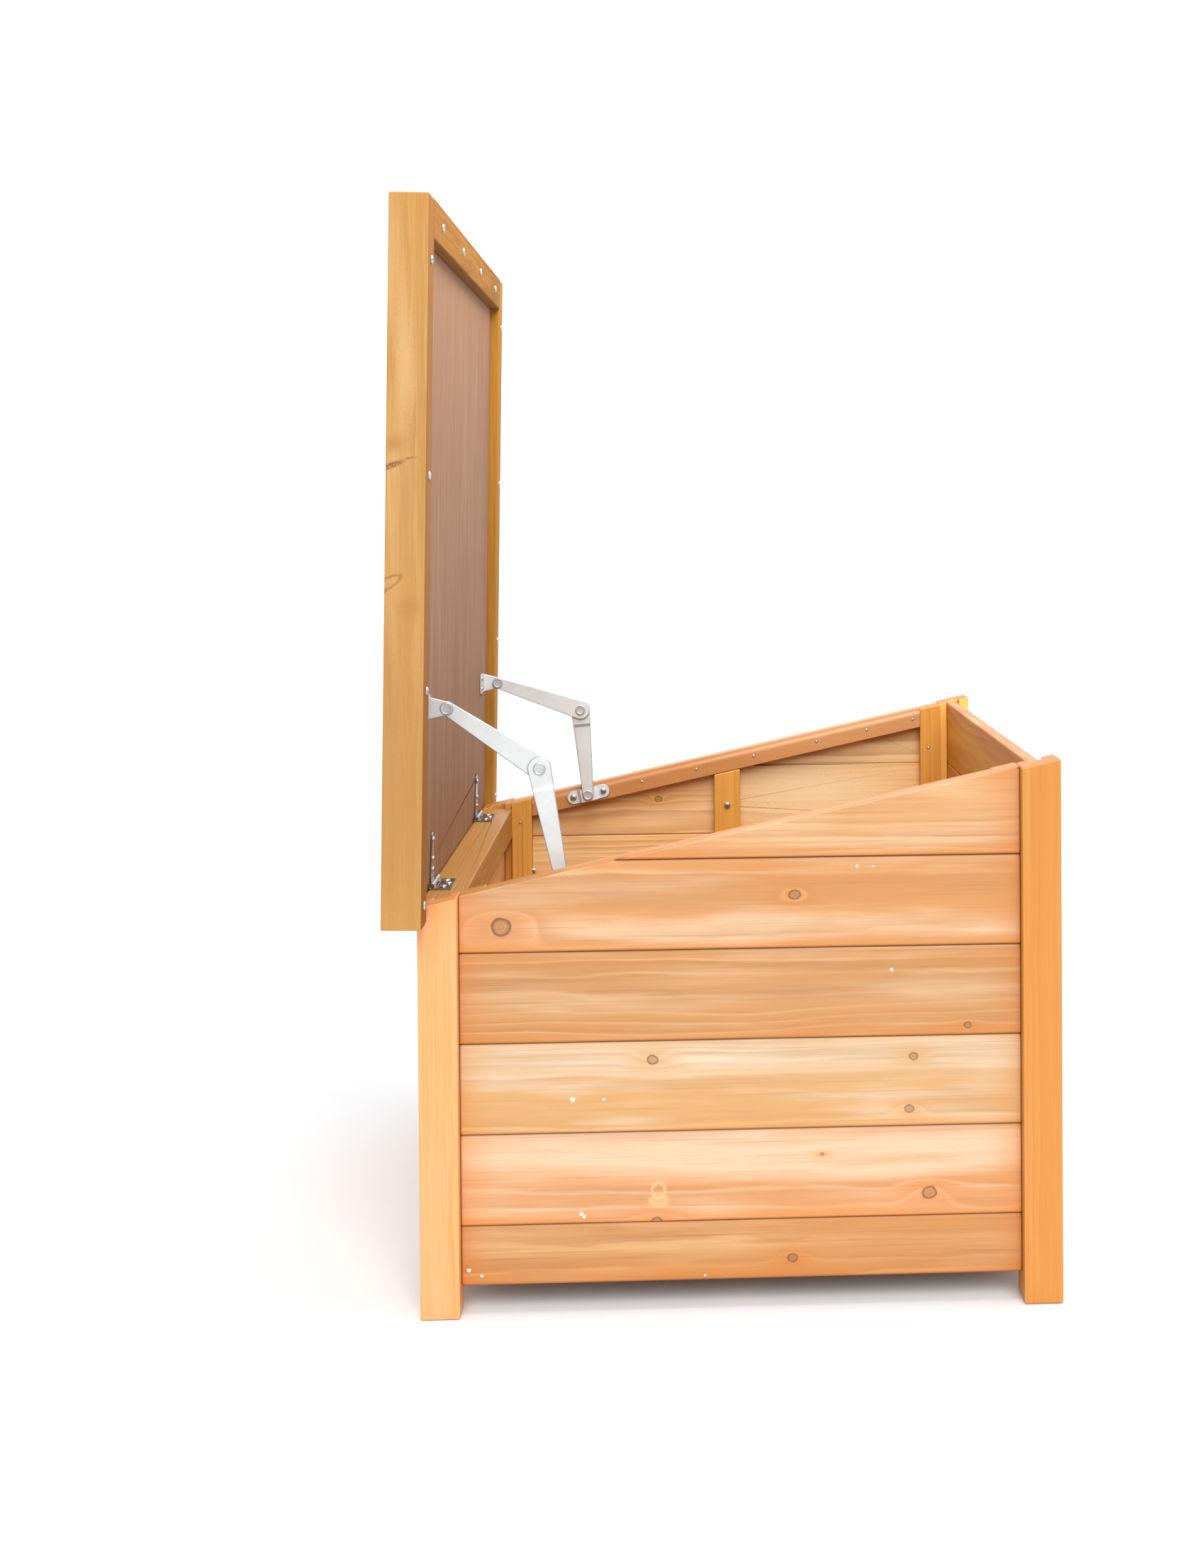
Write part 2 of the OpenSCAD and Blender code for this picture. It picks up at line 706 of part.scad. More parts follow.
lid_screws();
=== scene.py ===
# Wooden toy box with its lid open: wood and metal finishes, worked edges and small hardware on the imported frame.
import math
import random

import bmesh
import bpy
from mathutils import Matrix, Vector


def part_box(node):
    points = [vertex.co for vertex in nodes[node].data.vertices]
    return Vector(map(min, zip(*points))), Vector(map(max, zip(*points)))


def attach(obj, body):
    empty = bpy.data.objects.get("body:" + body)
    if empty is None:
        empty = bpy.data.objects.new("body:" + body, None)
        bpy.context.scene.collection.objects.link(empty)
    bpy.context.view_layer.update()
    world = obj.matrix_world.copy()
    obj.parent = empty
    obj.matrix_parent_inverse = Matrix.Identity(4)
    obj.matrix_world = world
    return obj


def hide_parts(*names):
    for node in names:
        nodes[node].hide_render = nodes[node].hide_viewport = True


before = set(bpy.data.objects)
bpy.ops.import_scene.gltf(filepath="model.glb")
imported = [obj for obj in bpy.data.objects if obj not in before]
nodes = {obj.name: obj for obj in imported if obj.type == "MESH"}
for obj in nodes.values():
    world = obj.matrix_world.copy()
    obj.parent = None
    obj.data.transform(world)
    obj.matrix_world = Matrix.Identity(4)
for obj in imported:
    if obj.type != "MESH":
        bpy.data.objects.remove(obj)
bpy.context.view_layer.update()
mm = 0.001


# a socket that can be calculated with: each sum adds its nodes
class Wire:
    def __init__(self, graph, socket):
        self.graph = graph
        self.socket = socket

    def calc(self, operation, *values):
        return self.graph.make("ShaderNodeMath", {"operation": operation}, dict(enumerate(values)))

    def __add__(self, other):
        return self.calc("ADD", self, other)

    def __radd__(self, other):
        return self.calc("ADD", other, self)

    def __sub__(self, other):
        return self.calc("SUBTRACT", self, other)

    def __rsub__(self, other):
        return self.calc("SUBTRACT", other, self)

    def __mul__(self, other):
        return self.calc("MULTIPLY", self, other)

    def __rmul__(self, other):
        return self.calc("MULTIPLY", other, self)

    def __truediv__(self, other):
        return self.calc("DIVIDE", self, other)

    def __rtruediv__(self, other):
        return self.calc("DIVIDE", other, self)

    def __pow__(self, other):
        return self.calc("POWER", self, other)

    def __abs__(self):
        return self.calc("ABSOLUTE", self)

    def exp(self):
        return self.calc("EXPONENT", self)

    def fract(self):
        return self.calc("FRACT", self)

    def clamp(self):
        return self.graph.make("ShaderNodeClamp", {}, {"Value": self})

    # 0 below low, 1 above high
    def smooth(self, low, high):
        return self.graph.make("ShaderNodeMapRange", {"interpolation_type": "SMOOTHSTEP"},
                               {"Value": self, "From Min": low, "From Max": high})

    # up between the first two values, down again between the last two
    def band(self, riseFrom, riseTo, fallFrom, fallTo):
        return self.smooth(riseFrom, riseTo) * (1 - self.smooth(fallFrom, fallTo))

    # a soft hump, 1 at the centre
    def hump(self, centre, width):
        away = (self - centre) / width
        return (away * away * -1).exp()

    # another output of the same node
    def also(self, out):
        return Wire(self.graph, self.socket.node.outputs[out])


# the node tree of a material, or of an owner such as the world
class Finish:
    def __init__(self, name, owner=None):
        self.material = owner or bpy.data.materials.new(name)
        self.material.use_nodes = True
        self.tree = self.material.node_tree
        self.tree.nodes.clear()

    def make(self, nodeType, settings, sockets, out=0):
        node = self.tree.nodes.new(nodeType)
        for key, value in settings.items():
            setattr(node, key, value)
        for key, value in sockets.items():
            if isinstance(value, Wire):
                self.tree.links.new(value.socket, node.inputs[key])
            else:
                node.inputs[key].default_value = value
        return Wire(self, node.outputs[out]) if node.outputs else None

    def mixColour(self, amount, first, second, blend="MIX"):
        return self.make("ShaderNodeMix", {"data_type": "RGBA", "blend_type": blend, "clamp_factor": True},
                         {0: amount, 6: full(first), 7: full(second)}, 2)

    def noise(self, spot, scale=1.0, detail=2.0, rough=0.5, distortion=0.0):
        return self.make("ShaderNodeTexNoise", {}, {
            "Vector": spot, "Scale": scale, "Detail": detail, "Roughness": rough, "Distortion": distortion})

    def vector(self, operation, *values):
        return self.make("ShaderNodeVectorMath", {"operation": operation}, dict(enumerate(values)))

    # the object's own coordinates in millimetres from a centre, as three wires
    def millimetres(self, centre):
        place = self.make("ShaderNodeTexCoord", {}, {}, "Object")
        local = self.vector("SUBTRACT", place, centre)
        local = self.vector("MULTIPLY", local, (1000, 1000, 1000))
        split = self.make("ShaderNodeSeparateXYZ", {}, {0: local})
        return [split.also(k) for k in range(3)]

    def bump(self, height, strength, distance):
        return self.make("ShaderNodeBump", {}, {"Strength": strength, "Distance": distance, "Height": height})

    def surface(self, fixed, changing):
        shader = self.make("ShaderNodeBsdfPrincipled", {}, {**fixed, **changing})
        self.make("ShaderNodeOutputMaterial", {}, {"Surface": shader})
        return self.material


# a colour as sockets take it, with an alpha
def full(colour):
    return colour if isinstance(colour, Wire) or len(colour) == 4 else (*colour, 1)


# one finish in place of what a thing had
def dress(thing, finish):
    thing.data.materials.clear()
    thing.data.materials.append(finish)


# each layer of grain: length along the board and width across it in mm, a shift of its own, detail and roughness
grain = {
    "ripple": (70, 10, 7.7, 2.0, 0.5), "spread": (320, 26, 1.9, 1.0, 0.5), "fibre": (60, 0.8, 5.5, 3.0, 0.6),
    "hair": (150, 1.6, 15.5, 2.0, 0.6), "streak": (170, 5.0, 9.2, 3.0, 0.6), "patch": (240, 16, 12.4, 3.0, 0.55),
    "cloud": (190, 24, 2.2, 3.0, 0.5)}
grainShift = {"swirl": 3.1, "depth": 0.37}
# parts of one growth ring, and how much of it shows where it is faintest
ringShape = {"late": (0.35, 0.94, 0.96, 1.0), "vein": (0.02, 0.1, 0.12, 0.3), "shown": (0.35, 0.7),
             "faintest": 0.35}
# where a layer starts to colour the wood and where it does so fully
threshold = {"brownPatch": (0.46, 0.72), "brownStreak": (0.5, 0.75), "pale": (0.42, 0.72), "hair": (0.55, 0.78),
             "fibre": (0.45, 0.8), "facing": (0.35, 0.8)}
# the part of patches and streaks in the brown, and the least of a shade band, a sheen band and an orange end
share = {"patch": 0.7, "streak": 0.5, "shade": 0.35, "sheen": 0.4, "end": 0.5}
# mm past a board's end where its orange is full, mm before it of the dark line of painted shade against the leg, and
# the same at its lower edge, where the dark line is painted shade in the seam
boardEdge = {"past": 6, "buttFrom": 1.6, "buttTo": 0.4, "lower": (1.5, 10), "lowerWave": 6, "joint": (0.5, 2.4)}
# a knot in radii: the bend of the rings round it, its flatness, its rim and its own small rings
knotShape = {"bend": (3.4, 1.5), "push": 1.6, "flat": 0.86, "wobbleSize": 1.3, "wobble": 0.4, "inside": (0.8, 0.95),
             "rim": (0.72, 0.84, 0.94, 1.1), "glow": 0.55, "ringlets": 2.6, "ringletShow": 0.5, "fill": 0.8,
             "haloShow": 0.5, "coreShow": 0.8, "rimShow": 0.78}
# a chip in the finish, in radii, and the bare wood in it
chipShape = {"wobbleSize": 1.2, "wobble": 1.8, "edge": (0.75, 1.05), "colour": (0.87, 0.85, 0.82), "rough": 0.25,
             "deep": 0.8}
# each kind of smear: its colour and strength, and its edge in half widths: a ring has four values, a patch two; the
# sheen kind is a painted highlight
smearKinds = {
    "ring": {"colour": "knot", "strength": 0.75, "edge": (0.6, 0.85, 0.95, 1.2)},
    "paleRing": {"colour": "stain", "strength": 0.6, "edge": (0.6, 0.85, 0.95, 1.2)},
    "mark": {"colour": "knotRim", "strength": 0.9, "edge": (0.5, 1.0), "broken": (0.36, 0.52)},
    "stain": {"colour": "stain", "strength": 0.5, "edge": (0.7, 1.2)},
    "shade": {"colour": "brown", "strength": 0.7, "edge": (0.0, 1.2)},
    "sheen": {"colour": "pale", "strength": 0.85, "edge": (0.0, 1.2)}}
speckle = {"size": 2.2, "detail": 3.0, "rough": 0.7, "show": 0.8}
# how rough and how raised each layer is
relief = {"roughFibre": 0.14, "roughLate": 0.05, "fibre": 0.45, "late": 0.35, "hair": 0.2,
          "strength": 0.2, "distance": 0.0006, "coatRough": 0.3}


# one board's wood: rings, fibre, brown patches, pale patches and bands partly painted sheen, orange ends and lower
# edge, knots, smears and chips, painted shade lines at its seams and ends, and painted shade or light on faces turned
# one way
def woodFinish(name, look, board):
    f = Finish(name)
    axes = f.millimetres(board["centre"])
    along, across, depth = [axes[k] for k in board["axes"]]
    seed = board["seed"]

    def field(length, width, shift, detail=2.0, rough=0.5):
        spot = f.make("ShaderNodeCombineXYZ", {}, {
            0: along / length + seed, 1: across / width + shift, 2: depth / width + seed * grainShift["depth"]})
        return f.noise(spot, 1.0, detail, rough)

    def layer(kind, fine=1):
        length, width, *rest = grain[kind]
        return field(length, width * fine, *rest)

    # distance from a spot in radii, with the second radius multiplied by flat
    def distance(at, side, size, flat=1):
        return (((along - at) / size) ** 2 + ((across - side) / (size * flat)) ** 2) ** 0.5

    slow = field(look["swirlLength"], look["swirlWidth"], grainShift["swirl"])
    ripple = layer("ripple")
    heart = across - board["heart"][0] + (slow - 0.5) * look["swirl"]
    below = depth - board["heart"][1] + (ripple - 0.5) * look["ripple"]
    radius = (heart * heart + below * below) ** 0.5

    cores, rims, halos = [], [], []
    bendAlong, bendAcross = knotShape["bend"]
    for (at, side, size) in board["knots"]:
        bend = ((along - at) / (size * bendAlong)) ** 2 + ((across - side) / (size * bendAcross)) ** 2
        radius = radius + (bend * -1).exp() * (size * knotShape["push"])
        wobble = field(size * knotShape["wobbleSize"], size * knotShape["wobbleSize"], at, 1.0)
        gap = distance(at, side, size, knotShape["flat"]) + (wobble - 0.5) * knotShape["wobble"]
        inside = 1 - gap.smooth(*knotShape["inside"])
        ringlets = ((gap * knotShape["ringlets"]).fract() - 0.5) * knotShape["ringletShow"]
        cores.append(inside * (knotShape["fill"] + ringlets))
        rims.append(gap.band(*knotShape["rim"]))
        halos.append((bend * -knotShape["glow"]).exp())

    ring = (radius / look["ringWidth"]).fract()
    faintest = ringShape["faintest"]
    spread = faintest + layer("spread").smooth(*ringShape["shown"]) * (1 - faintest)
    late = ring.band(*ringShape["late"]) * spread
    vein = ring.band(*ringShape["vein"]) * spread

    fibre = layer("fibre", look["fine"])
    hair = layer("hair", look["fine"])
    streak = layer("streak")
    patch = layer("patch")
    cloud = layer("cloud")

    brown = patch.smooth(*threshold["brownPatch"]) * share["patch"]
    brown = brown + streak.smooth(*threshold["brownStreak"]) * share["streak"]
    # pale clouds: partly paler wood and partly a painted sheen
    pale = cloud.smooth(*threshold["pale"])
    if "shade" in board:
        amount, centre, width = board["shade"]
        brown = brown + across.hump(centre, width) * (share["shade"] + patch) * amount
    # a sheen band: partly paler wood and partly a painted highlight across the board
    if "sheen" in board:
        amount, centre, width = board["sheen"]
        pale = pale + across.hump(centre, width) * (share["sheen"] + cloud) * amount

    wood = f.mixColour(pale * look["paleShow"], look["light"], look["pale"])
    wood = f.mixColour(brown * look["brownShow"], wood, look["brown"])
    wood = f.mixColour(late * look["ringShow"], wood, look["dark"])
    wood = f.mixColour(vein * look["veinShow"], wood, look["pale"])
    wood = f.mixColour(hair.smooth(*threshold["hair"]) * look["hairShow"], wood, look["dark"])
    wood = f.mixColour(fibre.smooth(*threshold["fibre"]) * look["fibreShow"], wood, look["dark"])

    halfLength, halfWidth = board["half"]
    fromEdge = across + halfWidth
    ends = abs(along).smooth(halfLength - look["endDepth"], halfLength + boardEdge["past"]) * (share["end"] + cloud)
    lower = 1 - (fromEdge + (streak - 0.5) * boardEdge["lowerWave"]).smooth(*boardEdge["lower"])
    wood = f.mixColour(ends * look["endShow"] + lower * look["lowerShow"], wood, look["orange"])
    # painted shade: a dark line along the lower edge in the seam to the next board, and at the ends against the legs
    joint = 1 - fromEdge.smooth(*boardEdge["joint"])
    buttShade = abs(along).smooth(halfLength - boardEdge["buttFrom"], halfLength - boardEdge["buttTo"])
    wood = f.mixColour((joint + buttShade) * look["jointShow"], wood, look["joint"])

    if cores:
        wood = f.mixColour(sum(halos).clamp() * knotShape["haloShow"], wood, look["orange"])
        wood = f.mixColour(sum(cores).clamp() * knotShape["coreShow"], wood, look["knot"])
        wood = f.mixColour(sum(rims).clamp() * knotShape["rimShow"], wood, look["knotRim"])

    for (at, side, wide, high, tilt, kind) in board["smears"]:
        smear = smearKinds[kind]
        level = along - at - (across - side) * tilt
        speck = field(speckle["size"], speckle["size"], at, speckle["detail"], speckle["rough"])
        gap = ((level / high) ** 2 + ((across - side) / wide) ** 2) ** 0.5 + (speck - 0.5) * speckle["show"]
        mask = gap.band(*smear["edge"]) if len(smear["edge"]) == 4 else 1 - gap.smooth(*smear["edge"])
        if "broken" in smear:
            mask = mask * speck.smooth(*smear["broken"])
        wood = f.mixColour(mask * smear["strength"], wood, look[smear["colour"]])

    # painted shade and light: faces turned one way have their colour multiplied, darker tops, inner faces and
    # undersides, and one leg's inner face lighter
    turn = f.make("ShaderNodeTexCoord", {}, {}, "Normal")
    for direction, shadeTone in board["facing"]:
        toward = f.vector("DOT_PRODUCT", turn, direction).also("Value")
        shaded = f.mixColour(1.0, wood, shadeTone, "MULTIPLY")
        wood = f.mixColour(toward.smooth(*threshold["facing"]), wood, shaded)
    wood = f.mixColour(1.0, wood, board["tone"], "MULTIPLY")
    rough = look["rough"] + (fibre - 0.5) * relief["roughFibre"] + late * relief["roughLate"]
    height = fibre * relief["fibre"] + late * relief["late"] + hair * relief["hair"]

    chips = []
    for (at, side, size, show) in board["chips"]:
        wobble = field(size * chipShape["wobbleSize"], size * chipShape["wobbleSize"], at)
        gap = distance(at, side, size) + (wobble - 0.5) * chipShape["wobble"]
        chips.append((1 - gap.smooth(*chipShape["edge"])) * show)
    if chips:
        chip = sum(chips).clamp()
        wood = f.mixColour(chip, wood, chipShape["colour"])
        rough = rough + chip * chipShape["rough"]
        height = height - chip * chipShape["deep"]
    return f.surface(
        {"Specular IOR Level": look["shine"], "Coat Roughness": relief["coatRough"], "Coat Weight": look["coat"]},
        {"Base Color": wood, "Roughness": rough, "Normal": f.bump(height, relief["strength"], relief["distance"])})


panelWood = {
    "light": (0.69, 0.32, 0.10), "pale": (0.82, 0.57, 0.35), "brown": (0.55, 0.285, 0.115),
    "dark": (0.42, 0.175, 0.05), "orange": (0.70, 0.265, 0.05), "knot": (0.38, 0.185, 0.065),
    "knotRim": (0.16, 0.075, 0.03), "joint": (0.27, 0.10, 0.02), "stain": (0.86, 0.54, 0.24),
    "ringWidth": 7.5, "ringShow": 0.3, "veinShow": 0.5, "jointShow": 0.75, "fine": 1.0, "brownShow": 0.5,
    "paleShow": 0.8, "hairShow": 0.46, "fibreShow": 0.25,
    "swirl": 26, "swirlLength": 260, "swirlWidth": 60, "ripple": 4,
    "endDepth": 34, "endShow": 0.45, "lowerShow": 0.5, "rough": 0.46, "shine": 0.4, "coat": 0.1}
legWood = dict(
    panelWood, light=(0.76, 0.29, 0.055), pale=(0.82, 0.37, 0.10), brown=(0.66, 0.23, 0.035), dark=(0.52, 0.17, 0.02),
    ringWidth=3.4, ringShow=0.22, brownShow=0.4, paleShow=0.5, hairShow=0.24, veinShow=0.25, swirl=7,
    endShow=0, lowerShow=0, jointShow=0)
paleLeg = dict(legWood, light=(0.85, 0.41, 0.135), pale=(0.88, 0.51, 0.22), brown=(0.78, 0.33, 0.08))
railWood = dict(
    legWood, light=(0.62, 0.28, 0.07), pale=(0.72, 0.37, 0.13), brown=(0.52, 0.215, 0.045), dark=(0.40, 0.155, 0.03))
battenWood = dict(
    railWood, light=(0.74, 0.32, 0.06), pale=(0.80, 0.39, 0.09), brown=(0.64, 0.25, 0.04))
# the far wall's boards: a lighter copy of the panel wood, painted light for the light that falls short inside the box
innerLitWood = dict(
    panelWood, light=(0.80, 0.40, 0.14), pale=(0.88, 0.60, 0.35), brown=(0.66, 0.33, 0.13), dark=(0.46, 0.20, 0.06),
    orange=(0.78, 0.33, 0.07), ringWidth=5.5, ringShow=0.5, brownShow=0.35, paleShow=0.5)
lidWood = dict(
    panelWood, light=(0.56, 0.29, 0.085), pale=(0.66, 0.39, 0.15), brown=(0.44, 0.21, 0.055), dark=(0.32, 0.14, 0.035),
    orange=(0.62, 0.27, 0.05), knot=(0.34, 0.15, 0.055), knotRim=(0.24, 0.10, 0.035),
    ringWidth=2.4, ringShow=0.25, brownShow=0.4, paleShow=0.5, hairShow=0.35, fibreShow=0.5, veinShow=0.3,
    swirl=6, endDepth=60, endShow=0.25, lowerShow=0, jointShow=0, rough=0.7, shine=0.12, coat=0)
farLidWood = dict(
    lidWood, light=(0.48, 0.19, 0.028), pale=(0.56, 0.25, 0.05), brown=(0.38, 0.135, 0.016), dark=(0.26, 0.085, 0.01))
lidEndWood = dict(lidWood, fine=2.5, hairShow=0.6, ringShow=0.4)
plyWood = dict(
    panelWood, light=(0.435, 0.255, 0.175), pale=(0.51, 0.32, 0.235), brown=(0.37, 0.19, 0.12),
    dark=(0.28, 0.13, 0.08), orange=(0.52, 0.25, 0.13), ringWidth=14, ringShow=0.12, brownShow=0.85, paleShow=0.8,
    hairShow=0.3, fibreShow=0.12, veinShow=0.2, fine=3.0, swirl=60, endDepth=90, endShow=0.3, lowerShow=0,
    jointShow=0, rough=0.7, shine=0.12, coat=0)

# along, across and depth as axes of the frame
lengthwise = (0, 2, 1)
sideways = (1, 2, 0)
upright = (2, 0, 1)
flatSideways = (1, 0, 2)

boards = {}
for k in range(1, 7):
    boards[f"left_plank_{k}"] = (panelWood, lengthwise)
    boards[f"right_plank_{k}"] = (innerLitWood, lengthwise)
    boards[f"front_plank_{k}"] = (panelWood, sideways)
for k in range(1, 5):
    boards[f"back_plank_{k}"] = (panelWood, sideways)
boards.update({
    "leg_back_left": (paleLeg, upright), "leg_back_right": (legWood, upright),
    "leg_front_left": (legWood, upright), "leg_front_right": (legWood, upright),
    "hinge_rail": (railWood, sideways), "side_rail_left": (railWood, lengthwise),
    "side_rail_right": (railWood, lengthwise), "side_battens": (battenWood, upright),
    "floor_bearers": (railWood, sideways), "floor_panel": (plyWood, flatSideways),
    "lid_side_left": (lidWood, upright), "lid_side_right": (farLidWood, upright),
    "lid_front_member": (lidEndWood, sideways), "lid_back_member": (lidWood, sideways),
    "lid_boards": (lidWood, sideways), "lid_lining": (plyWood, (2, 1, 0))})

# a facing tone: a direction, and what multiplies the colour of the faces turned that way, painted shade or painted
# light by how a face turns; these are the tops, darkened as painted shade
paintedTopShade = ((0, 0, 1), (0.74, 0.64, 0.46))
# what is seen on single boards, in mm from the back left corner: knots as x, z and radius; chips with a strength
# after the radius; smears as x, z, half width, half height, tilt and kind; brown bands, and pale bands partly painted
# sheen, as strength, height above the board's middle and half width; tone multiplies the colour, facing is a list of
# facing tones: painted shade or light on faces turned one way
marks = {
    "left_plank_6": {"sheen": (0.9, -8, 26), "tone": (0.89, 0.80, 0.70)},
    "left_plank_5": {"knots": [(62.5, 297.5, 8.0), (288, 318.7, 4.6)],
                     "chips": [(336.6, 339.9, 1.5, 0.35), (349.2, 339.7, 1.3, 0.35)],
                     "shade": (0.8, 8, 12), "sheen": (0.8, -24, 10), "tone": (0.87, 0.82, 0.79)},
    "left_plank_4": {"knots": [(421.9, 215, 3.0)], "chips": [(363, 259.2, 1.2, 1)], "shade": (1.0, 2, 26),
                     "tone": (0.82, 0.76, 0.68)},
    "left_plank_3": {"knots": [(178, 193, 4.4), (379.7, 191.6, 3.6), (376.2, 150.8, 3.8)],
                     "chips": [(116.3, 163.7, 2.0, 1), (140.2, 163.2, 1.0, 1)], "sheen": (1.3, 18, 14),
                     "tone": (0.88, 1.0, 1.16)},
    "left_plank_2": {"knots": [(391.3, 85.3, 5.8), (308.2, 117.1, 1.6), (180, 67, 5.0)],
                     "chips": [(122.4, 75.2, 1.5, 1), (124.4, 73.0, 1.4, 1)],
                     "smears": [(181.6, 84, 6, 8.5, 0, "stain"), (181.6, 92, 6.5, 5.5, 0, "paleRing")],
                     "sheen": (1.4, 14, 16), "tone": (0.93, 0.88, 0.92)},
    "left_plank_1": {"knots": [(284.6, 37.1, 4.2)],
                     "chips": [(36.1, 33.7, 1.4, 1), (45.8, 29.1, 1.0, 1), (217.1, 25.1, 0.9, 1)],
                     "shade": (0.6, -6, 14), "tone": (0.79, 0.64, 0.43)},
    "right_plank_4": {"tone": (1.0, 1.08, 1.05)},
    # painted highlight: a broad pale sheen smear on this board
    "right_plank_5": {"knots": [(177.4, 321.5, 3.6)], "smears": [(330, 330, 40, 130, 0, "sheen")],
                      "tone": (0.95, 1.06, 1.1)},
    "right_plank_6": {"tone": (0.95, 1.08, 1.15)},
    "leg_back_left": {"tone": (1.0, 0.91, 0.98)},
    "leg_front_left": {"tone": (0.82, 0.84, 0.76)},
    # painted light: the leg's face turned to -y, inside the box, is lightened; its top is darkened as painted shade
    "leg_front_right": {"tone": (0.9, 0.9, 0.88), "facing": [paintedTopShade, ((0, -1, 0), (1.4, 1.9, 2.2))]},
    "hinge_rail": {"tone": (0.61, 0.585, 0.38), "facing": []},
    "leg_back_right": {"tone": (0.78, 0.85, 0.85)},
    # painted highlight: a broad pale sheen smear along part of the rail
    "side_rail_right": {"smears": [(350, 400, 60, 190, 0, "sheen")], "tone": (0.78, 0.74, 0.85)},
    "side_battens": {"tone": (0.87, 0.91, 0.78)},
    # painted shade: the member's face turned to +x and its underside are darkened
    "lid_front_member": {"tone": (0.93, 0.90, 0.88),
                         "facing": [((1, 0, 0), (0.565, 0.455, 0.12)), ((0, 0, -1), (0.6, 0.5, 0.3))]},
    "lid_side_right": {"tone": (0.79, 0.90, 0.80)},
    "lid_lining": {"tone": (0.64, 0.58, 0.47)},
    # painted highlight in the two sheen smears at the top, and painted shade on the inner face through its facing tone
    "lid_side_left": {"smears": [(-11, 650.4, 13, 3.2, 0.33, "mark"), (4, 656, 6, 0.9, 0.1, "mark"),
                                 (-8, 667, 18, 9, 0.2, "shade"), (-13.8, 563.6, 10, 4.6, 0.45, "ring"),
                                 (-18, 556, 5, 1.4, 0.6, "mark"), (1, 545, 12, 12, 0, "shade"),
                                 (-8, 400, 70, 190, 0, "shade"), (-22, 805, 26, 75, 0, "sheen"),
                                 (0, 730, 9, 70, 0, "sheen")],
                      "tone": (0.97, 0.99, 1.08), "facing": [((1, 0, 0), (0.53, 0.40, 0.24))]}}
for k in range(1, 7):
    # painted shade: the inner faces of the front wall are darkened, and the tops as on other boards
    marks[f"front_plank_{k}"] = {"tone": (0.93, 0.86, 0.72),
                                 "facing": [paintedTopShade, ((-1, 0, 0), (0.83, 0.64, 0.15))]}
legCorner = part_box("leg_back_left")[0]


# worked edges: radius, the least angle in degrees that gets one, and how points are joined and flat faces found
edges = {"wood": 1.2 * mm, "sheet": 0.6 * mm, "hinge": 0.2 * mm, "least": 40, "sheetLeast": 65,
         "join": 0.001 * mm, "flat": 0.5}


# points joined and triangles back to flat faces, then a small worked radius
def softenEdges(thing, width, edgeSlot=-1, segments=2, least=edges["least"]):
    joined = thing.modifiers.new("joinedFaces", "WELD")
    joined.merge_threshold = edges["join"]
    flat = thing.modifiers.new("flatFaces", "DECIMATE")
    flat.decimate_type = "DISSOLVE"
    flat.angle_limit = math.radians(edges["flat"])
    edge = thing.modifiers.new("softEdges", "BEVEL")
    edge.width = width
    edge.segments = segments
    edge.limit_method = "ANGLE"
    edge.angle_limit = math.radians(least)
    edge.use_clamp_overlap = False
    edge.material = edgeSlot
    shade = thing.modifiers.new("faceNormals", "WEIGHTED_NORMAL")
    shade.keep_sharp = True


# marks on a board, moved to its own middle and axes
def spots(found, centre, axes):
    moved = []
    for (x, z, *sizes) in found:
        at = (x - (centre.x - legCorner[0]) * 1000, 0, z - centre.z * 1000)
        moved.append((at[axes[0]], at[axes[1]], *sizes))
    return moved


# how far boards differ from each other by themselves
vary = {"tone": (0.94, 1.04), "green": (0.97, 1.02), "blue": (0.94, 1.04), "seed": (0, 50), "heart": (-0.3, 0.3),
        "heartDepth": (14, 50), "band": (0, 1), "bandPlace": (-0.3, 0.3), "bandWidth": (8, 22)}
dice = random.Random(11)
for name, (look, axes) in boards.items():
    low, high = (Vector(v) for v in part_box(name))
    centre = (low + high) / 2
    size = (high - low) * 1000
    own = marks.get(name, {})
    shade = dice.uniform(*vary["tone"])
    board = {"centre": centre, "axes": axes, "seed": dice.uniform(*vary["seed"]),
             "half": (size[axes[0]] / 2, size[axes[1]] / 2),
             "heart": (dice.uniform(*vary["heart"]) * size[axes[1]],
                       dice.choice((-1, 1)) * dice.uniform(*vary["heartDepth"])),
             "facing": [paintedTopShade],
             "tone": (shade, shade * dice.uniform(*vary["green"]), shade * dice.uniform(*vary["blue"]))}
    for key in ("knots", "chips", "smears"):
        board[key] = spots(own.get(key, []), centre, axes)
    for key in ("shade", "sheen", "tone", "facing"):
        if key in own:
            board[key] = own[key]
        elif "plank" in name and key in ("shade", "sheen"):
            board[key] = (dice.uniform(*vary["band"]), dice.uniform(*vary["bandPlace"]) * size[axes[1]],
                          dice.uniform(*vary["bandWidth"]))
    dress(nodes[name], woodFinish(name + "Wood", look, board))
    softenEdges(nodes[name], edges["wood"])
print("wood: done")


# each layer of a metal: size per mm, detail, roughness and distortion
metalGrain = {"cloud": (0.07, 3, 0.6), "smudge": (0.16, 4, 0.65, 1.5), "scratch": (1.0, 2, 0.5),
              "speckle": (0.9, 2, 0.5)}
# where a layer starts to colour the metal and where it does so fully
metalThreshold = {"cloud": (0.35, 0.7), "smudge": (0.58, 0.75), "scratch": (0.6, 0.85)}
metalRelief = {"roughSpeckle": 0.12, "roughSmudge": 0.1, "strength": 0.08, "distance": 0.0001}


